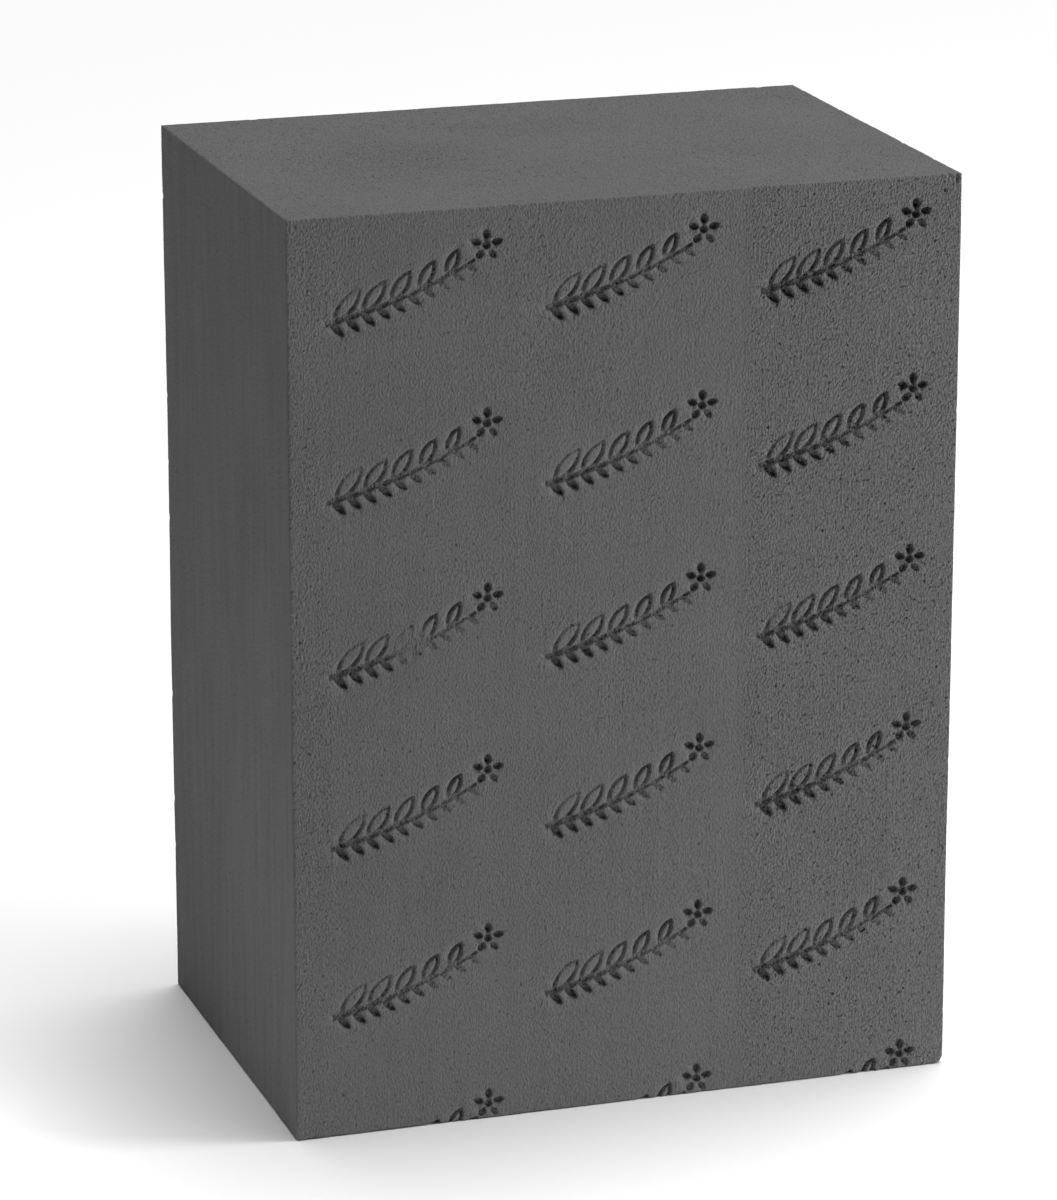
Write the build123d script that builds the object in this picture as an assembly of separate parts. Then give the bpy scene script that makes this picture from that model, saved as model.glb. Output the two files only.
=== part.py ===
from build123d import *
import os
from math import atan2, cos, degrees, radians, sin

# Floral foam block: a rectangular block sawn from one foamed bun and marked on its front face by a roller.
# Millimetres. +Z is up, the marked front faces -Y, and +X is to the right of someone facing it.
# The origin is the centre of the underside.

# Block
WIDTH = 235.0               # X
DEPTH = 160.0               # Y
HEIGHT = 318.0              # Z

# Roller marks: a grid of sprigs pressed into the front face
MARK_COLUMNS = 3            # centred on the block's width
MARK_ROWS = 6               # counted down from the top; the lower edge cuts the last row
COLUMN_PITCH = 75.4
ROW_PITCH = 60.0
TOP_ROW_HEIGHT = 294.0      # centre of the first row above the underside
MARK_RISE = 15.7            # degrees that each sprig climbs to the right
MARK_DEPTH = 1.8

# One sprig, in its own axes: u along its length, v across it, origin at its centre
STEM_START = (-31.0, -3.2)
STEM_MIDDLE = (-4.0, -3.4)
STEM_END = (23.0, 0.4)
STEM_WIDTH_START = 2.0
STEM_WIDTH_END = 1.1
OPEN_LEAVES = 5             # large leaves above the stem, pressed as outlines only
OPEN_LEAF_LENGTHS = (14.5, 10.5)    # first and last
OPEN_LEAF_SLENDERNESS = 0.40        # width over length
OPEN_LEAF_SPREAD = 38.0     # degrees between the leaf and the stem
OPEN_LEAF_PLACES = (0.05, 0.79)     # first and last leaf along the stem, from 0 to 1
LEAF_LINE = 1.1             # width of the groove round an open leaf
SMALL_LEAVES = 10           # solid leaves below the stem
SMALL_LEAF_LENGTHS = (6.6, 5.0)
SMALL_LEAF_SLENDERNESS = 0.40
SMALL_LEAF_SPREAD = 56.0
SMALL_LEAF_PLACES = (0.03, 0.93)
PETALS = 5
BLOSSOM_CENTRE = (28.0, 3.6)
BLOSSOM_EYE_RADIUS = 1.3
PETAL_START = 1.9           # distance of a petal's inner end from the blossom's centre
PETAL_LENGTH = 3.6
PETAL_SLENDERNESS = 0.66

# Chip knocked off the lower front right corner: its reach along each edge
CHIP_X = 2.0
CHIP_Y = 2.2
CHIP_Z = 2.8
CHIP_TOOL = 12.0            # side of the block that takes the chip away

STEM_ARC = ThreePointArc(STEM_START, STEM_MIDDLE, STEM_END)


def between(ends, share):
    """The value at a share of the way from the first end to the last."""
    return ends[0] + (ends[1] - ends[0]) * share


def pointed_blade(length, slenderness):
    """A leaf or petal from the origin along +X: two arcs that meet in a point at both ends."""
    bulge = length * slenderness / 2
    upper = ThreePointArc((0, 0), (length / 2, bulge), (length, 0))
    lower = ThreePointArc((length, 0), (length / 2, -bulge), (0, 0))
    return make_face(upper + lower)


def stem():
    """A curved stem that narrows from its cut end to the blossom."""
    stations = ((STEM_START, 1.0), (STEM_MIDDLE, 0.5), (STEM_END, 0.0))
    widths = [between((STEM_WIDTH_END, STEM_WIDTH_START), share) for _, share in stations]
    above = [(u, v + width / 2) for ((u, v), _), width in zip(stations, widths)]
    below = [(u, v - width / 2) for ((u, v), _), width in zip(stations, widths)]
    outline = ThreePointArc(*above) + Line(above[2], below[2])
    outline += ThreePointArc(*reversed(below)) + Line(below[0], above[0])
    return make_face(outline)


def leaf_on_stem(blade, along, spread):
    """Places a blade on the stem's centreline, leaning forward above it, or below it for a negative spread."""
    base = STEM_ARC @ along
    heading = STEM_ARC % along
    angle = degrees(atan2(heading.Y, heading.X)) + spread
    return Pos(base.X, base.Y) * Rot(0, 0, angle) * blade


def blossom():
    """Petals round a small eye."""
    petal = pointed_blade(PETAL_LENGTH, PETAL_SLENDERNESS)
    centre = Pos(*BLOSSOM_CENTRE)
    flower = centre * Circle(BLOSSOM_EYE_RADIUS)
    for count in range(PETALS):
        flower += centre * Rot(0, 0, 360 / PETALS * count) * Pos(PETAL_START, 0) * petal
    return flower


def sprig():
    """The whole mark: open leaves above the stem, small solid leaves below it and a blossom at the end."""
    mark = stem()
    for count in range(OPEN_LEAVES):
        share = count / (OPEN_LEAVES - 1)
        blade = pointed_blade(between(OPEN_LEAF_LENGTHS, share), OPEN_LEAF_SLENDERNESS)
        groove = blade - offset(blade, -LEAF_LINE)
        mark += leaf_on_stem(groove, between(OPEN_LEAF_PLACES, share), OPEN_LEAF_SPREAD)
    for count in range(SMALL_LEAVES):
        share = count / (SMALL_LEAVES - 1)
        blade = pointed_blade(between(SMALL_LEAF_LENGTHS, share), SMALL_LEAF_SLENDERNESS)
        mark += leaf_on_stem(blade, between(SMALL_LEAF_PLACES, share), -SMALL_LEAF_SPREAD)
    return mark + blossom()


def mark_planes():
    """The place of every mark: a plane on the front face, turned by the mark's rise."""
    rise = radians(MARK_RISE)
    for row in range(MARK_ROWS):
        for column in range(MARK_COLUMNS):
            x = (column - (MARK_COLUMNS - 1) / 2) * COLUMN_PITCH
            z = TOP_ROW_HEIGHT - row * ROW_PITCH
            yield Plane((x, -DEPTH / 2, z), x_dir=(cos(rise), 0, sin(rise)), z_dir=(0, -1, 0))


def corner_chip():
    """A tool that takes the corner away beyond the slanted plane through the three ends of the chip."""
    low, back, high = (
        Vector(WIDTH / 2 - CHIP_X, -DEPTH / 2, 0),
        Vector(WIDTH / 2, -DEPTH / 2 + CHIP_Y, 0),
        Vector(WIDTH / 2, -DEPTH / 2, CHIP_Z),
    )
    outward = Vector(1 / CHIP_X, -1 / CHIP_Y, -1 / CHIP_Z)
    slant = Plane((low + back + high) * (1 / 3), z_dir=outward)
    return slant * Box(CHIP_TOOL, CHIP_TOOL, CHIP_TOOL, align=(Align.CENTER, Align.CENTER, Align.MIN))


def foam_block():
    block = Box(WIDTH, DEPTH, HEIGHT, align=(Align.CENTER, Align.CENTER, Align.MIN))
    press = extrude(sprig(), amount=-MARK_DEPTH)
    block -= [plane * press for plane in mark_planes()]
    return block - corner_chip()


os.makedirs("parts", exist_ok=True)
export_step(foam_block(), "parts/foam_block.step")
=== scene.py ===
from math import cos, pi, radians, sin

import bpy
import numpy as np
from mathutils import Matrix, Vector, noise
from mathutils.geometry import delaunay_2d_cdt


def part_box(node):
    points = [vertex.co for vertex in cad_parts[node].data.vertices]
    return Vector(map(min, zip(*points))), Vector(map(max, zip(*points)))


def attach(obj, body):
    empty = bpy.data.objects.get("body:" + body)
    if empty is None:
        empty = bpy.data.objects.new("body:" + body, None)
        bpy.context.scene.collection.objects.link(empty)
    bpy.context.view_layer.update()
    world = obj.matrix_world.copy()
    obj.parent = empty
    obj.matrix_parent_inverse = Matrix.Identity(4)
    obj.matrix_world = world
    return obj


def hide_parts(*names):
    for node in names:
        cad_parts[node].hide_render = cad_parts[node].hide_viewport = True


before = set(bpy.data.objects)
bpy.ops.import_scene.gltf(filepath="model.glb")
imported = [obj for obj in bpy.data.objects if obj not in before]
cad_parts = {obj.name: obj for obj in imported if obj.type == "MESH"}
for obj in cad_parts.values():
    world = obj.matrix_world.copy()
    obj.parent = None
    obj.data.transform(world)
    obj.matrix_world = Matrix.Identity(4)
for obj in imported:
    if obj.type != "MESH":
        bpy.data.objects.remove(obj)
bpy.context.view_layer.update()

# A floral foam block, made as one fine mesh round the CAD block: its sawn faces, the sprigs pressed into
# its front, its worn edges and the small voids in the foam. Lengths are in millimetres until the mesh is
# made, and the studio is in metres. Unevenness is given as an amount, the size of its features and a seed.

MM = 0.001
NODE = "foam_block"
LOW, HIGH = (np.array(corner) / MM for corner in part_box(NODE))
SIZE = HIGH - LOW
X, Y, Z = range(3)
LEFT, RIGHT = (X, 0), (X, 1)
FRONT, BACK = (Y, 0), (Y, 1)
UNDERSIDE, TOP = (Z, 0), (Z, 1)
FACES = (LEFT, RIGHT, FRONT, BACK, UNDERSIDE, TOP)
ON_FACE = 0.01              # what lies this near a face or its border is on it

# The roller's grid of marks, as the CAD model lays it out
COLUMN_PITCH = 75.4
ROW_PITCH = 60.0
TOP_ROW_HEIGHT = 294.0
MARK_ROWS = 6
MARK_RISE = radians(15.7)

# How deep the roller bit: most at a mark's lower left and upper right, and more in each column rightwards
PRESS_MIDDLE = 1.05
PRESS_SWING = 1.3
PRESS_LEAST = 0.35
PRESS_TURN = 90.0           # larger for a more gradual swing between a mark's deep and shallow ends
PRESS_COLUMN_STEP = 0.13    # share by which a column is deeper than the one to its left
PRESS_UNEVEN = (0.18, 26, 3)
WALL_TOP = 0.1              # a mark's wall starts this far outside its outline
WALL_FOOT = 0.25            # and reaches full depth this far inside it
MARK_ROUGHNESS = 0.1        # how far crumbs stand up inside a mark
MARK_CRUMBS = (1.7, 5)      # size and seed

# The rims, where the roller drew foam down along one side of every outline, and where that side gets a
# painted highlight
RIM_HEADING = radians(200)  # the way that side faces, from +X towards +Z
RIM_TURN = (-0.2, 0.8)      # cosines of the angles from that heading where the sinking starts and is full
RIM_SINK = 0.50             # sunk share of the mark's depth there
RIM_SINK_LEAST = 0.03       # and everywhere else
RIM_REACH = 0.8             # the sinking fades over this distance from the wall
RIM_LIGHT_DEPTH = 1.0        # a mark shallower than this gets a fainter painted highlight on its rim

# Scuffed places: the mark's row and column, place from its centre, radius, share of depth kept, roughness
SCUFFS = (
    (1, -1, (12, 5), 7, 0.8, 0.30),
    (2, -1, (-1, -3), 10, 0.08, 0.22),
    (2, 1, (-23, -4), 8, 0.7, 0.32),
)
SCUFF_CORE = 0.45           # fully scuffed within this share of the radius

# Sawn faces
FACE_SWELLS = ((0.2, 95, 11), (0.07, 24, 12))
LANE_EDGES = (-37.0, 41.0)  # where the roller's lanes meet on the front
LANE_STEP = 0.12
LANE_BLEND = 0.8
TORN_RELIEF = (0.05, 4.5, 13)
COARSENESS = {LEFT: 0.3, RIGHT: 0.4, FRONT: 0.46, BACK: 0.6, UNDERSIDE: 0.7, TOP: 0.48}
COARSE_UNEVEN = (0.3, 34, 21)
COARSE_LANE = (0.6, LANE_EDGES[1] - 1, LANE_EDGES[1] + 3)   # what it adds, where that starts and is full
COARSE_MARGIN = (0.25, LOW[X] + 18, LOW[X] + 6)
COARSE_PATCH = (0.32, 46, 8)                                # the same, by distance from the patch's centre
COARSE_PATCH_CENTRE = (-60.0, 4.0)
SAW_DRAG = {LEFT: 1.0, RIGHT: 0.8, FRONT: 0.3, BACK: 0.5, UNDERSIDE: 0.3, TOP: 0.3}

# Voids that the saw opened, and the larger one near the front's top right corner
PIT_COUNTS = {LEFT: 4, RIGHT: 9, FRONT: 12, BACK: 14, UNDERSIDE: 10, TOP: 9}
PIT_MARGIN = 4.0
PIT_RADII = (0.3, 0.65)
PIT_DEPTHS = (0.7, 1.5)     # as a share of the radius
PIT_CORE = 0.25             # full depth within this share of the radius
LARGE_PIT = (HIGH[X] - 6.0, HIGH[Z] - 5.4, 0.8, 1.1)        # place on the front, radius and depth

# Wear
EDGE_RADIUS = 0.4
EDGE_RADIUS_LEAST = 0.12
EDGE_UNEVEN = ((0.4, 6, 41), (0.4, 1.9, 42))                # as a share of the radius
CRUMB_COUNT = 90            # crumbs lost along the twelve edges
CRUMB_RADII = (0.7, 2.0)
CRUMB_DEPTHS = (0.06, 0.18)     # as a share of the radius
CHIP = np.array((2.0, 2.2, 2.8))
CHIP_CORNER = np.array((HIGH[X], LOW[Y], LOW[Z]))
CHIP_INWARD = np.array((-1, 1, 1))
CHIP_UNEVEN = (0.12, 0.9, 31)
CHIP_ROUGH_FROM = 0.5       # full roughness where this much or more is broken away
NICK_PLACE = (HIGH[X] - 1.8, HIGH[Z] - 1.6)
NICK_HALF_SIZE = (0.45, 1.9)
NICK_DEPTH = 0.9
NICK_WALL = (1.3, 0.4)      # its wall starts and ends at these shares of the half size
BLEND_REACH = 6.0           # how far past an edge one face's relief carries onto the next

# Mesh density
EDGE_STEP = 1.1
EDGE_ROWS = (0.35, 0.9, 1.8)
EDGE_ROW_WIDENING = 3.0     # a row this far in would have its points twice as far apart as the edge
FRONT_STEP = 1.7
PLAIN_STEP = 4.2
FIELD_MARGIN = 0.6          # in steps, from the last edge row
FIELD_ROW = 0.866           # distance between the rows of a grid, in steps
FIELD_JITTER = 0.22         # in steps
OUTLINE_STEP = 0.65
OUTLINE_LEVELS = (0.9, 0.45, 0.1, -0.25)
OUTLINE_CLOSEST = OUTLINE_STEP * 0.7
OUTLINE_TOLERANCE = 0.12
OUTLINE_CLEAR = (OUTLINE_LEVELS[0] + 0.5, OUTLINE_LEVELS[-1] - 0.4)     # the even grid leaves this free
PIT_RINGS = ((0.55, 6), (1.05, 9))      # share of the radius and number of points
PATCH_STEP = 0.4
PATCH_SIZE = 4.2
CLOSEST = 0.3               # no two points of a face lie nearer than this
STATION_GAP = CLOSEST * 1.01            # and no two stations of an edge nearer than this
DISTANCE_CELL = 0.25        # grid on which the distance to the marks is kept
DISTANCE_REACH = 2.5

# The foam's material. Grain: size in millimetres, detail and roughness of each noise
CELLS = (0.8, 1.5, 0.6)
FINE_CELLS = (0.4, 1.0, 0.5)
CLUMPS = (1.9, 1.0, 0.5)
VOIDS = (1.25, 0.0, 0.5)
STREAKS = (3.6, 3.0, 0.5)
BLOTCHES = (6.0, 2.0, 0.5)
MOTTLE = (38.0, 2.0, 0.5)
VOID_LEVEL = 0.15           # noise above this opens a void
CELL_SCALE = (1, 1, 0.7)    # cells and streaks are drawn out upwards
STREAK_SCALE = (1, 1, 0.06)
PRESSED_COARSENESS = 0.5
# What each part adds to the height in millimetres, to the tone and to the shader's roughness
HEIGHT_SHARES = {"fine_cells": 0.06, "torn": 1.5, "opened": -2.5, "streaks": 0.16}
# The rim value in the tone is a painted highlight along the side of each mark that faces the lamps.
TONE_SHARES = {
    # coarse: painted light, coarser places made a little lighter to offset the darkening that their stronger
    # bump gives under the overhead lamp
    "mottle": 0.16, "blotches": 0.10, "clumps": 0.20, "streaks": 0.5, "coarse": 0.06,
    # opened: painted shade, the voids made darker where their hollows would lie in shade
    # torn: partly the foam's own speckle, partly painted shade: the noise that raises the torn cells also
    # lightens them, so the hollows between them come out darker
    "torn": 1.3, "opened": -3.5, "fine_cells": 0.2, "pressed": -0.12, "painted_rim_light": 0.24,
}
ROUGHNESS_SHARES = {"torn": 0.15, "pressed": -0.05}
FOAM_GREY = 0.101
FOAM_ROUGHNESS = 0.93
FOAM_SPECULAR = 0.25
SURFACE_VALUES = ("coarse", "pressed", "painted_rim_light", "dragged")

# Studio
AZIMUTH = radians(-18.1)
ELEVATION = radians(16.5)
DISTANCE_IN_HEIGHTS = 6.07
FRAMING = (0.027, 0.005)    # how far the block's middle stands right of and above the picture's, in heights
LENS = 165.7
FLOOR_REACH = 20.0
FLOOR_LEVEL = (LOW[Z] - 0.3) * MM
FLOOR_GREY = 0.8
BACKDROP_RADIUS = 15.0
BACKDROP_HEIGHT = 8.0
BACKDROP_SIDES = 48
BACKDROP_GLOW = 0.92
FOOT_LAMP_GAP = 0.0001      # foot lamps lie this far above the floor
WORLD_GLOW = 0.01

SEED_SHIFT = (17.31, -9.7, 5.13)        # how far each seed moves the noise
draw = np.random.default_rng(11)


# --- Helpers --------------------------------------------------------------------------------------


def wobble(places, size, seed):
    """Smooth noise from about -1 to 1 at each place, with features of the given size."""
    shift = Vector([seed * step for step in SEED_SHIFT])
    return np.array([noise.noise(Vector(place) / size + shift) for place in places])


def uneven(places, *parts):
    """The sum of several kinds of unevenness, each with its amount, size and seed."""
    return sum(amount * wobble(places, size, seed) for amount, size, seed in parts)


def ease(values, start, end):
    """0 at start, 1 at end, with a smooth rise between."""
    share = np.clip((values - start) / (end - start), 0, 1)
    return share * share * (3 - 2 * share)


def level(face):
    """The face's place along its own axis."""
    axis, side = face
    return (LOW, HIGH)[side][axis]


def plane_axes(face):
    """The two axes that a face spans."""
    return [axis for axis in (X, Y, Z) if axis != face[0]]


def thin(points, closest):
    """Drops each point that lies too near one before it."""
    cells, kept = {}, []
    for index, (a, b) in enumerate(points):
        i, j = int(a // closest), int(b // closest)
        near = (cells.get((i + di, j + dj), ()) for di in (-1, 0, 1) for dj in (-1, 0, 1))
        if all((a - c) ** 2 + (b - d) ** 2 >= closest ** 2 for cell in near for c, d in cell):
            cells.setdefault((i, j), []).append((a, b))
            kept.append(index)
    return points[kept]


# --- The marks ------------------------------------------------------------------------------------


def mark_outlines():
    """The ends of the marks' outline segments: where the CAD front face stops short of its border."""
    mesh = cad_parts[NODE].data
    mesh.calc_loop_triangles()
    places = np.array([vertex.co for vertex in mesh.vertices]) / MM
    on_front = places[:, Y] < LOW[Y] + ON_FACE
    uses = {}
    for triangle in mesh.loop_triangles:
        if on_front[list(triangle.vertices)].all():
            corners = [tuple(np.round(places[i, [X, Z]], 3)) for i in triangle.vertices]
            for side in zip(corners, corners[1:] + corners[:1]):
                uses[frozenset(side)] = uses.get(frozenset(side), 0) + 1
    ends = np.array([list(side) for side, count in uses.items() if count == 1])
    low, high = LOW[[X, Z]] + ON_FACE, HIGH[[X, Z]] - ON_FACE
    off_border = ((ends > low) & (ends < high)).all(axis=2)
    return ends[off_border.any(axis=1)]


def distance_grid(outlines):
    """Signed distance to the outlines over the front face, negative inside a mark."""
    columns, rows = (int(SIZE[axis] / DISTANCE_CELL) + 2 for axis in (X, Z))
    distance = np.full((rows, columns), DISTANCE_REACH)
    crossings = np.zeros((rows + 1, columns), int)
    reach = DISTANCE_REACH / DISTANCE_CELL
    for start, end in (outlines - LOW[[X, Z]]) / DISTANCE_CELL:
        first = np.maximum(np.minimum(start, end) - reach, 0).astype(int)
        last = np.minimum(np.maximum(start, end) + reach + 1, (columns - 1, rows - 1)).astype(int)
        column, row = np.meshgrid(np.arange(first[0], last[0] + 1), np.arange(first[1], last[1] + 1))
        run = end - start
        share = ((column - start[0]) * run[0] + (row - start[1]) * run[1]) / max(run @ run, 1e-9)
        share = np.clip(share, 0, 1)
        away = np.hypot(column - start[0] - share * run[0], row - start[1] - share * run[1])
        window = distance[first[1]:last[1] + 1, first[0]:last[0] + 1]
        np.minimum(window, away * DISTANCE_CELL, out=window)
        crossed = np.arange(int(np.ceil(min(start[0], end[0]))), int(np.ceil(max(start[0], end[0]))))
        if len(crossed):
            height = start[1] + (crossed - start[0]) * run[1] / run[0]
            np.add.at(crossings, (np.clip(np.ceil(height), 0, rows).astype(int), crossed), 1)
    above = crossings[::-1].cumsum(axis=0)[::-1][1:]
    return np.where(above % 2 == 1, -distance, distance)


OUTLINES = mark_outlines()
DISTANCE = distance_grid(OUTLINES)


def mark_distance(x, z):
    """The signed distance to the marks at points of the front face."""
    column = np.clip((x - LOW[X]) / DISTANCE_CELL, 0, DISTANCE.shape[1] - 1.001)
    row = np.clip((z - LOW[Z]) / DISTANCE_CELL, 0, DISTANCE.shape[0] - 1.001)
    i, j = column.astype(int), row.astype(int)
    s, t = column - i, row - j
    lower = DISTANCE[j, i] * (1 - s) + DISTANCE[j, i + 1] * s
    upper = DISTANCE[j + 1, i] * (1 - s) + DISTANCE[j + 1, i + 1] * s
    return lower * (1 - t) + upper * t


def mark_slope(x, z):
    """Unit vectors along the front face, square to the nearest outline and pointing out of its mark."""
    reach = DISTANCE_CELL
    slope_x = mark_distance(x + reach, z) - mark_distance(x - reach, z)
    slope_z = mark_distance(x, z + reach) - mark_distance(x, z - reach)
    steepness = np.maximum(np.hypot(slope_x, slope_z), 1e-9)
    return slope_x / steepness, slope_z / steepness


def nearest_mark(x, z):
    """For each point, the row and column of its mark and its place from that mark's centre."""
    row = np.clip(np.round((TOP_ROW_HEIGHT - z) / ROW_PITCH), 0, MARK_ROWS - 1)
    column = np.clip(np.round(x / COLUMN_PITCH), -1, 1)
    return row, column, x - column * COLUMN_PITCH, z - (TOP_ROW_HEIGHT - row * ROW_PITCH)


def bite(places):
    """How deep and how rough a mark is at each place of the front, whether or not one is there."""
    row, column, across, up = nearest_mark(places[:, X], places[:, Z])
    along = across * cos(MARK_RISE) + up * sin(MARK_RISE)
    beside = up * cos(MARK_RISE) - across * sin(MARK_RISE)
    depth = PRESS_MIDDLE + PRESS_SWING * np.tanh(along * beside / PRESS_TURN)
    depth = np.maximum(depth, PRESS_LEAST) * (1 + PRESS_COLUMN_STEP * column)
    depth *= 1 + uneven(places, PRESS_UNEVEN)
    rough = MARK_ROUGHNESS
    for mark_row, mark_column, place, radius, kept, roughness in SCUFFS:
        inside = (row == mark_row) & (column == mark_column)
        away = np.hypot(across - place[0], up - place[1])
        scuffed = inside * ease(away, radius, radius * SCUFF_CORE)
        depth *= 1 - (1 - kept) * scuffed
        rough = rough + roughness * scuffed
    return depth, rough


def press_relief(places):
    """How deep the front face is pressed in, the share of a full mark, and how much painted highlight its
    rim gets on the side that faces the lamps.
    """
    x, z = places[:, X], places[:, Z]
    depth, rough = bite(places)
    away = mark_distance(x, z)
    wall = ease(away, WALL_TOP, -WALL_FOOT)
    slope_x, slope_z = mark_slope(x, z)
    drawn_down = ease(slope_x * cos(RIM_HEADING) + slope_z * sin(RIM_HEADING), *RIM_TURN)
    sink = RIM_SINK_LEAST + (RIM_SINK - RIM_SINK_LEAST) * drawn_down
    rim = np.exp(-np.maximum(away, 0) / RIM_REACH) * (1 - wall)
    crumbs = rough * wobble(places, *MARK_CRUMBS) * np.where(rough > MARK_ROUGHNESS, 1, wall)
    # painted highlight: the rim on the side that faces the lamps is made lighter, in place of the light its
    # slope would catch
    painted_rim_light = drawn_down * rim * np.minimum(depth, RIM_LIGHT_DEPTH)
    return depth * (wall + sink * rim) + crumbs, wall, painted_rim_light


# --- Voids, crumbs and other wear -----------------------------------------------------------------


def scatter_pits():
    """Small voids in each face: place on the face, radius and depth."""
    pits = {face: [] for face in FACES}
    pits[FRONT].append(LARGE_PIT)
    for face, count in PIT_COUNTS.items():
        axes = plane_axes(face)
        for _ in range(count):
            place = draw.uniform(LOW[axes] + PIT_MARGIN, HIGH[axes] - PIT_MARGIN)
            radius = draw.uniform(*PIT_RADII)
            pits[face].append((*place, radius, radius * draw.uniform(*PIT_DEPTHS)))
    return pits


def scatter_crumbs():
    """Crumbs lost along the twelve edges: place, way into the block, radius and depth."""
    crumbs = []
    for _ in range(CRUMB_COUNT):
        axis = draw.integers(3)
        sides = draw.integers(2, size=3)
        place = np.where(sides, HIGH, LOW)
        place[axis] = draw.uniform(LOW[axis], HIGH[axis])
        inward = np.where(sides, -1.0, 1.0)
        inward[axis] = 0
        inward /= np.linalg.norm(inward)
        radius = draw.uniform(*CRUMB_RADII)
        crumbs.append((place, inward, radius, radius * draw.uniform(*CRUMB_DEPTHS)))
    return crumbs


PITS = scatter_pits()
CRUMBS = scatter_crumbs()


def pit_relief(face, places):
    """How deep each place of a face lies in a void."""
    a, b = plane_axes(face)
    depth = np.zeros(len(places))
    for centre_a, centre_b, radius, deep in PITS[face]:
        away = np.hypot(places[:, a] - centre_a, places[:, b] - centre_b)
        depth += deep * ease(away, radius, radius * PIT_CORE)
    return depth


def nick_relief(places):
    """The slit broken into the front face beside its top right corner."""
    across = np.abs(places[:, X] - NICK_PLACE[0]) / NICK_HALF_SIZE[0]
    up = np.abs(places[:, Z] - NICK_PLACE[1]) / NICK_HALF_SIZE[1]
    return NICK_DEPTH * ease(np.hypot(across, up), *NICK_WALL)


def coarseness(face, places):
    """How torn the sawn surface is, from 0, smooth, to about 1.3."""
    x, y = places[:, X], places[:, Y]
    coarse = np.full(len(places), COARSENESS[face])
    if face == FRONT:
        for added, start, full in (COARSE_LANE, COARSE_MARGIN):
            coarse += added * ease(x, start, full)
    if face == TOP:
        added, start, full = COARSE_PATCH
        away = np.hypot(x - COARSE_PATCH_CENTRE[0], y - COARSE_PATCH_CENTRE[1])
        coarse += added * ease(away, start, full)
    return coarse * (1 + uneven(places, COARSE_UNEVEN))


def face_relief(face, places):
    """How far into the block each place of a face lies."""
    depth = uneven(places, *FACE_SWELLS) + pit_relief(face, places)
    if face == FRONT:
        x = places[:, X]
        left, right = LANE_EDGES
        lanes = ease(x, left - LANE_BLEND, left + LANE_BLEND)
        lanes -= ease(x, right - LANE_BLEND, right + LANE_BLEND)
        depth += LANE_STEP * lanes + coarseness(face, places) * uneven(places, TORN_RELIEF)
        depth += press_relief(places)[0] + nick_relief(places)
    return depth


def knock_off_corner(places):
    """Brings what stands beyond the chip's slanted plane back to it, and leaves the break rough."""
    inside = (places - CHIP_CORNER) * CHIP_INWARD
    normal = 1 / CHIP
    beyond = np.maximum(1 - inside @ normal, 0) / np.linalg.norm(normal)
    chipped = beyond > 0
    push = beyond[chipped]
    push = push + uneven(places[chipped], CHIP_UNEVEN) * ease(push, 0, CHIP_ROUGH_FROM)
    places[chipped] += push[:, None] * CHIP_INWARD * normal / np.linalg.norm(normal)


def worn(base):
    """Where each place of the sharp box lies on the worn block."""
    radius = EDGE_RADIUS * (1 + uneven(base, *EDGE_UNEVEN))
    radius = np.maximum(radius, EDGE_RADIUS_LEAST)[:, None]
    core = np.clip(base, LOW + radius, HIGH - radius)
    away = base - core
    places = core + away / np.linalg.norm(away, axis=1)[:, None] * radius
    for face in FACES:
        axis, side = face
        behind = np.abs(base[:, axis] - level(face))
        near = behind < BLEND_REACH
        inward = face_relief(face, base[near]) * (1 - behind[near] / BLEND_REACH)
        places[near, axis] += inward * (-1 if side else 1)
    for place, inward, reach, depth in CRUMBS:
        share = np.maximum(1 - ((base - place) ** 2).sum(axis=1) / reach ** 2, 0)
        places += (depth * share ** 2)[:, None] * inward
    knock_off_corner(places)
    return places


# --- The mesh, laid out on the sharp box ----------------------------------------------------------


def mark_crossings(distance):
    """Where the lower front edge crosses the line at this distance from the cut marks."""
    along = DISTANCE[0] - distance
    cell = np.nonzero(along[:-1] * along[1:] < 0)[0]
    return LOW[X] + DISTANCE_CELL * (cell + along[cell] / (along[cell] - along[cell + 1]))


def edge_stations(axis, sides):
    """Places along one edge, shared by its two faces. sides says at which end of each other axis it lies."""
    stations = np.linspace(LOW[axis], HIGH[axis], round(SIZE[axis] / EDGE_STEP) + 1)
    ends = (LOW, HIGH)
    if all(CHIP_CORNER[other] == ends[side][other] for other, side in sides.items()):
        fine = CHIP_CORNER[axis] + CHIP_INWARD[axis] * np.arange(0, PATCH_SIZE, PATCH_STEP)
        even = stations[np.abs(stations - CHIP_CORNER[axis]) > PATCH_SIZE]
        stations = np.union1d(even, fine)
    if sides == {Y: 0, Z: 0}:
        crossings = np.concatenate([mark_crossings(distance) for distance in OUTLINE_LEVELS])
        gaps = np.abs(stations[:, None] - crossings).min(axis=1)
        stations = np.union1d(stations[(gaps > EDGE_STEP / 2) | (np.abs(stations) == HIGH[X])], crossings)
    kept = [stations[0]]
    for station in stations[1:]:
        if station - kept[-1] > STATION_GAP:
            kept.append(station)
    kept[-1] = stations[-1]
    return np.array(kept)


def border(face):
    """Points on a face's four edges."""
    a, b = plane_axes(face)
    points = []
    for side in (0, 1):
        for along, across in ((a, b), (b, a)):
            stations = edge_stations(along, {face[0]: face[1], across: side})
            place = np.empty((len(stations), 2))
            place[:, (a, b).index(along)] = stations
            place[:, (a, b).index(across)] = (LOW, HIGH)[side][across]
            points.append(place)
    return np.concatenate(points)


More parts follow.
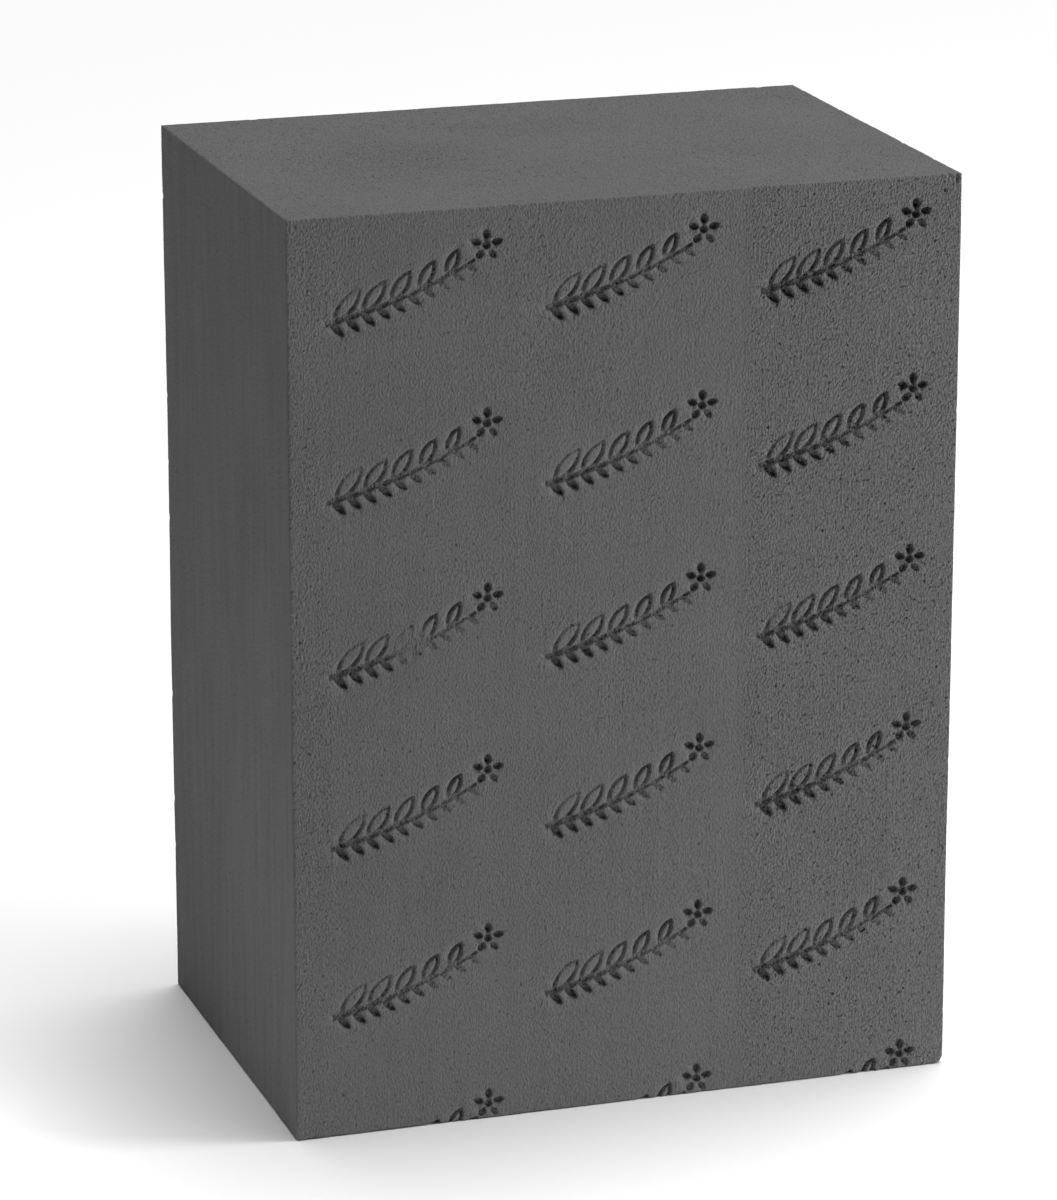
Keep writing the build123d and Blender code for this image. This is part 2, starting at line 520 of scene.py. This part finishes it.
def inset_ring(face, inset):
    """Points on a rectangle a little inside a face's edges, wider apart the further in it lies."""
    axes = plane_axes(face)
    low, high = LOW[axes] + inset, HIGH[axes] - inset
    counts = ((high - low) / (EDGE_STEP * (1 + inset / EDGE_ROW_WIDENING))).astype(int)
    points = []
    for index in (0, 1):
        for end in (low, high):
            place = np.empty((counts[index], 2))
            place[:, index] = np.linspace(low[index], high[index], counts[index])
            place[:, 1 - index] = end[1 - index]
            points.append(place)
    return np.concatenate(points)


def even_points(face, spacing):
    """A staggered grid of slightly displaced points over the middle of a face."""
    axes = plane_axes(face)
    margin = EDGE_ROWS[-1] + FIELD_MARGIN * spacing
    low, high = LOW[axes] + margin, HIGH[axes] - margin
    columns = round((high[0] - low[0]) / spacing)
    rows = round((high[1] - low[1]) / (spacing * FIELD_ROW))
    i, j = np.meshgrid(np.arange(columns), np.arange(rows))
    places = np.stack([(i + 0.25 + 0.5 * (j % 2)) / columns, (j + 0.5) / rows], axis=-1).reshape(-1, 2)
    return low + places * (high - low) + draw.uniform(-FIELD_JITTER, FIELD_JITTER, places.shape) * spacing


def outline_points():
    """Points along lines at set distances to each side of the marks' outlines."""
    start, end = OUTLINES[:, 0], OUTLINES[:, 1]
    counts = np.maximum(np.round(np.linalg.norm(end - start, axis=1) / OUTLINE_STEP), 1).astype(int)
    traced = [a + (b - a) * (k + 0.5) / n for a, b, n in zip(start, end, counts) for k in range(n)]
    x, z = np.array(traced).T
    slope_x, slope_z = mark_slope(x, z)
    lines = []
    for distance in OUTLINE_LEVELS:
        line = np.stack([x + slope_x * distance, z + slope_z * distance], axis=1)
        kept = np.abs(mark_distance(*line.T) - distance) < OUTLINE_TOLERANCE
        lines.append(thin(line[kept], OUTLINE_CLOSEST))
    lines = np.concatenate(lines)
    return lines[((lines > LOW[[X, Z]] + CLOSEST) & (lines < HIGH[[X, Z]] - CLOSEST)).all(axis=1)]


def pit_points(face):
    """The middle of each void and two rings round it."""
    points = []
    for a, b, radius, _ in PITS[face]:
        points.append((a, b))
        for share, count in PIT_RINGS:
            for turn in np.arange(count) * 2 * pi / count:
                points.append((a + radius * share * cos(turn), b + radius * share * sin(turn)))
    return np.array(points)


def patch_points(face):
    """Fine grids where small damage needs them: the chipped corner and the nick beside the top right one."""
    axes = plane_axes(face)
    steps = np.arange(0, PATCH_SIZE, PATCH_STEP)
    grid = np.stack(np.meshgrid(steps, steps), axis=-1).reshape(-1, 2) + PATCH_STEP / 2
    patches = []
    if level(face) == CHIP_CORNER[face[0]]:
        patches.append(CHIP_CORNER[axes] + CHIP_INWARD[axes] * grid)
    if face == FRONT:
        patches.append(HIGH[axes] - grid)
    return np.concatenate(patches) if patches else np.empty((0, 2))


def face_mesh(face):
    """One face's places on the sharp box and its triangles, wound to face outwards."""
    axes = plane_axes(face)
    rows = np.concatenate([inset_ring(face, inset) for inset in EDGE_ROWS])
    inner = [pit_points(face), patch_points(face)]
    if face == FRONT:
        beside = np.abs(mark_distance(*rows.T)) < OUTLINE_LEVELS[0]
        field = even_points(face, FRONT_STEP)
        clear = mark_distance(*field.T)
        open_field = (clear > OUTLINE_CLEAR[0]) | (clear < OUTLINE_CLEAR[1])
        inner += [outline_points(), rows[~beside], field[open_field]]
    else:
        inner += [rows, even_points(face, PLAIN_STEP)]
    points = thin(np.concatenate([border(face), *inner]), CLOSEST)
    flat, _, triangles, *_ = delaunay_2d_cdt([Vector(point) for point in points], [], [], 0, 1e-6)
    places = np.empty((len(flat), 3))
    places[:, axes] = np.array(flat)
    places[:, face[0]] = level(face)
    triangles = np.array(triangles)
    first, second, third = (places[triangles[:, corner]] for corner in range(3))
    outward = np.cross(second - first, third - first)[:, face[0]] * (1 if face[1] else -1)
    triangles[outward < 0] = triangles[outward < 0][:, ::-1]
    return places, triangles


def surface_values(face, places):
    """What the foam's material needs to know at each place, in the order of SURFACE_VALUES."""
    pressed, painted_rim_light = press_relief(places)[1:] if face == FRONT else np.zeros((2, len(places)))
    return np.stack([coarseness(face, places), pressed, painted_rim_light, np.full(len(places), SAW_DRAG[face])], axis=1)


def foam_mesh():
    """The whole block as one closed mesh, with the surface values at each point."""
    numbers, base, values, triangles = {}, [], [], []
    for face in FACES:
        places, corners = face_mesh(face)
        face_values = surface_values(face, places)
        index = np.empty(len(places), int)
        for row, place in enumerate(places):
            key = tuple(np.round(place, 4))
            if key not in numbers:
                numbers[key] = len(base)
                base.append(place)
                values.append(face_values[row])
            index[row] = numbers[key]
        triangles.append(index[corners])
    mesh = bpy.data.meshes.new("foam_block_surface")
    mesh.from_pydata(worn(np.array(base)) * MM, [], np.concatenate(triangles))
    for name, column in zip(SURFACE_VALUES, np.array(values, np.float32).T):
        mesh.attributes.new(name, "FLOAT", "POINT").data.foreach_set("value", np.ascontiguousarray(column))
    mesh.shade_smooth()
    mesh.validate()
    return mesh


# --- Foam material --------------------------------------------------------------------------------


class Tree:
    """Adds nodes to a material and feeds each input a socket, a number or a colour."""

    def __init__(self, material):
        material.use_nodes = True
        self.tree = material.node_tree
        self.shader = self.tree.nodes["Principled BSDF"]

    def add(self, kind, inputs=(), **settings):
        node = self.tree.nodes.new(kind)
        for name, value in settings.items():
            setattr(node, name, value)
        for name, value in dict(inputs).items():
            self.feed(node.inputs[name], value)
        return node

    def feed(self, socket, value):
        if isinstance(value, bpy.types.NodeSocket):
            self.tree.links.new(value, socket)
        else:
            socket.default_value = value

    def math(self, operation, *values):
        node = self.tree.nodes.new("ShaderNodeMath")
        node.operation = operation
        for socket, value in zip(node.inputs, values):
            self.feed(socket, value)
        return node.outputs[0]

    def scaled(self, coordinates, scale):
        return self.add("ShaderNodeMapping", {"Vector": coordinates, "Scale": scale}).outputs[0]

    def noise(self, coordinates, size, detail, roughness):
        """Noise centred on 0, with features of about the given size in the coordinates' units."""
        inputs = {"Vector": coordinates, "Scale": 1 / size, "Detail": detail, "Roughness": roughness}
        return self.math("SUBTRACT", self.add("ShaderNodeTexNoise", inputs).outputs["Fac"], 0.5)

    def value(self, attribute):
        return self.add("ShaderNodeAttribute", attribute_name=attribute).outputs["Fac"]

    def total(self, start, parts, shares):
        """The start plus each part times its share."""
        for name, share in shares.items():
            start = self.math("MULTIPLY_ADD", parts[name], share, start)
        return start


def foam_parts(tree):
    """The sockets that the foam's height, tone and roughness are made of, by name."""
    place = tree.add("ShaderNodeTexCoord").outputs["Object"]
    in_mm = tree.scaled(place, (1 / MM, 1 / MM, 1 / MM))
    pressed = tree.value("pressed")
    coarse = tree.math("MULTIPLY_ADD", pressed, PRESSED_COARSENESS, tree.value("coarse"))
    cells = tree.noise(tree.scaled(in_mm, CELL_SCALE), *CELLS)
    streaks = tree.noise(tree.scaled(in_mm, STREAK_SCALE), *STREAKS)
    voids = tree.math("MAXIMUM", tree.math("SUBTRACT", tree.noise(in_mm, *VOIDS), VOID_LEVEL), 0.0)
    return {
        "pressed": pressed,
        "coarse": coarse,
        # painted highlight on the lamp-facing side of each mark's rim
        "painted_rim_light": tree.value("painted_rim_light"),
        "torn": tree.math("MULTIPLY", cells, coarse),
        "opened": tree.math("MULTIPLY", voids, coarse),
        "streaks": tree.math("MULTIPLY", streaks, tree.value("dragged")),
        "fine_cells": tree.noise(in_mm, *FINE_CELLS),
        "clumps": tree.noise(in_mm, *CLUMPS),
        "blotches": tree.noise(in_mm, *BLOTCHES),
        "mottle": tree.noise(in_mm, *MOTTLE),
    }


def foam_material():
    """Dead matt charcoal foam: mottled, with torn cells drawn out along the saw's travel."""
    material = bpy.data.materials.new("charcoal_foam")
    tree = Tree(material)
    shader = tree.shader
    parts = foam_parts(tree)
    height = tree.total(0.0, parts, HEIGHT_SHARES)
    bump = tree.add("ShaderNodeBump", {"Height": height, "Distance": MM, "Strength": 1.0})
    tree.feed(shader.inputs["Normal"], bump.outputs[0])
    grey = tree.math("MULTIPLY", tree.total(1.0, parts, TONE_SHARES), FOAM_GREY)
    colour = tree.add("ShaderNodeCombineColor", {"Red": grey, "Green": grey, "Blue": grey})
    tree.feed(shader.inputs["Base Color"], colour.outputs[0])
    tree.feed(shader.inputs["Roughness"], tree.total(FOAM_ROUGHNESS, parts, ROUGHNESS_SHARES))
    shader.inputs["Specular IOR Level"].default_value = FOAM_SPECULAR
    return material


def foam_block():
    block = bpy.data.objects.new("floral_foam", foam_mesh())
    bpy.context.scene.collection.objects.link(block)
    block.data.materials.append(foam_material())
    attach(block, "root")
    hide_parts(NODE)


# --- Studio ---------------------------------------------------------------------------------------


def add_camera():
    data = bpy.data.cameras.new("camera")
    data.lens = LENS
    camera = bpy.data.objects.new("camera", data)
    bpy.context.scene.collection.objects.link(camera)
    back = Vector((sin(AZIMUTH) * cos(ELEVATION), -cos(AZIMUTH) * cos(ELEVATION), sin(ELEVATION)))
    right = Vector((cos(AZIMUTH), sin(AZIMUTH), 0))
    up = back.cross(right)
    height = SIZE[Z] * MM
    middle = Vector((LOW + HIGH) / 2 * MM)
    framed = middle - (right * FRAMING[0] + up * FRAMING[1]) * height
    camera.location = framed + back * DISTANCE_IN_HEIGHTS * height
    camera.rotation_euler = back.to_track_quat("Z", "Y").to_euler()
    bpy.context.scene.camera = camera


def add_stage_piece(name, corners, faces, grey, glow):
    """A matt piece of the studio, with an even grey and a glow of its own."""
    mesh = bpy.data.meshes.new(name)
    mesh.from_pydata(corners, [], faces)
    piece = bpy.data.objects.new(name, mesh)
    bpy.context.scene.collection.objects.link(piece)
    material = bpy.data.materials.new(name)
    shader = Tree(material).shader
    shader.inputs["Base Color"].default_value = (grey, grey, grey, 1)
    shader.inputs["Roughness"].default_value = 1.0
    shader.inputs["Specular IOR Level"].default_value = 0.0
    shader.inputs["Emission Color"].default_value = (1, 1, 1, 1)
    shader.inputs["Emission Strength"].default_value = glow
    mesh.materials.append(material)
    return piece


def add_floor():
    low, high = -FLOOR_REACH, FLOOR_REACH
    corners = [(x, y, FLOOR_LEVEL) for x, y in ((low, low), (high, low), (high, high), (low, high))]
    add_stage_piece("floor", corners, [(0, 1, 2, 3)], grey=FLOOR_GREY, glow=0)


def add_backdrop():
    """A pale ring round the floor. Only the camera sees it, so it lights and shades nothing."""
    turns = [2 * pi * side / BACKDROP_SIDES for side in range(BACKDROP_SIDES)]
    corners = [
        (BACKDROP_RADIUS * cos(turn), BACKDROP_RADIUS * sin(turn), height)
        for height in (FLOOR_LEVEL, BACKDROP_HEIGHT)
        for turn in turns
    ]
    nexts = [(side + 1) % BACKDROP_SIDES for side in range(BACKDROP_SIDES)]
    faces = [(a, b, b + BACKDROP_SIDES, a + BACKDROP_SIDES) for a, b in enumerate(nexts)]
    backdrop = add_stage_piece("backdrop", corners, faces, grey=0, glow=BACKDROP_GLOW)
    for unseen_by in ("diffuse", "glossy", "transmission", "volume_scatter", "shadow"):
        setattr(backdrop, "visible_" + unseen_by, False)


def add_lamp(name, kind, place, energy, back=None, **settings):
    """A lamp at a place from the block's middle, which it shines on unless its back points another way."""
    data = bpy.data.lights.new(name, kind)
    data.energy = energy
    for setting, value in settings.items():
        setattr(data, setting, value)
    lamp = bpy.data.objects.new(name, data)
    lamp.location = Vector((LOW + HIGH) / 2 * MM) + Vector(place)
    lamp.rotation_euler = Vector(back or place).to_track_quat("Z", "Y").to_euler()
    lamp.visible_camera = False
    bpy.context.scene.collection.objects.link(lamp)


def add_foot_lamp(name, place, size, energy):
    """A lamp that lies on the floor beside the block and shines straight up, as a pale floor would."""
    height = FLOOR_LEVEL + FOOT_LAMP_GAP - (LOW[Z] + HIGH[Z]) / 2 * MM
    shape = {"shape": "RECTANGLE", "size": size[0], "size_y": size[1]}
    add_lamp(name, "AREA", (*place, height), energy, back=(0, 0, -1), **shape)


def add_light():
    add_lamp("overhead", "SUN", place=(0.12, 0.1, 1.0), energy=3.6, angle=radians(40))
    add_lamp("right", "POINT", place=(1.4, -0.5, 0.55), energy=75.0, shadow_soft_size=0.3)
    add_lamp("low_left", "POINT", place=(-0.27, -0.05, -0.12), energy=0.24, shadow_soft_size=0.06)
    add_lamp("low_front", "POINT", place=(0.2, -0.4, -0.12), energy=1.5, shadow_soft_size=0.1)
    add_foot_lamp("foot_front", place=(0.0, -0.12), size=(0.3, 0.08), energy=0.042)
    add_foot_lamp("foot_left", place=(-0.1575, -0.03), size=(0.08, 0.1), energy=0.0045)
    world = bpy.data.worlds.new("studio")
    world.use_nodes = True
    background = world.node_tree.nodes["Background"]
    background.inputs["Color"].default_value = (1, 1, 1, 1)
    background.inputs["Strength"].default_value = WORLD_GLOW
    bpy.context.scene.world = world
    bpy.context.scene.view_settings.view_transform = "Standard"


foam_block()
add_camera()
add_floor()
add_backdrop()
add_light()
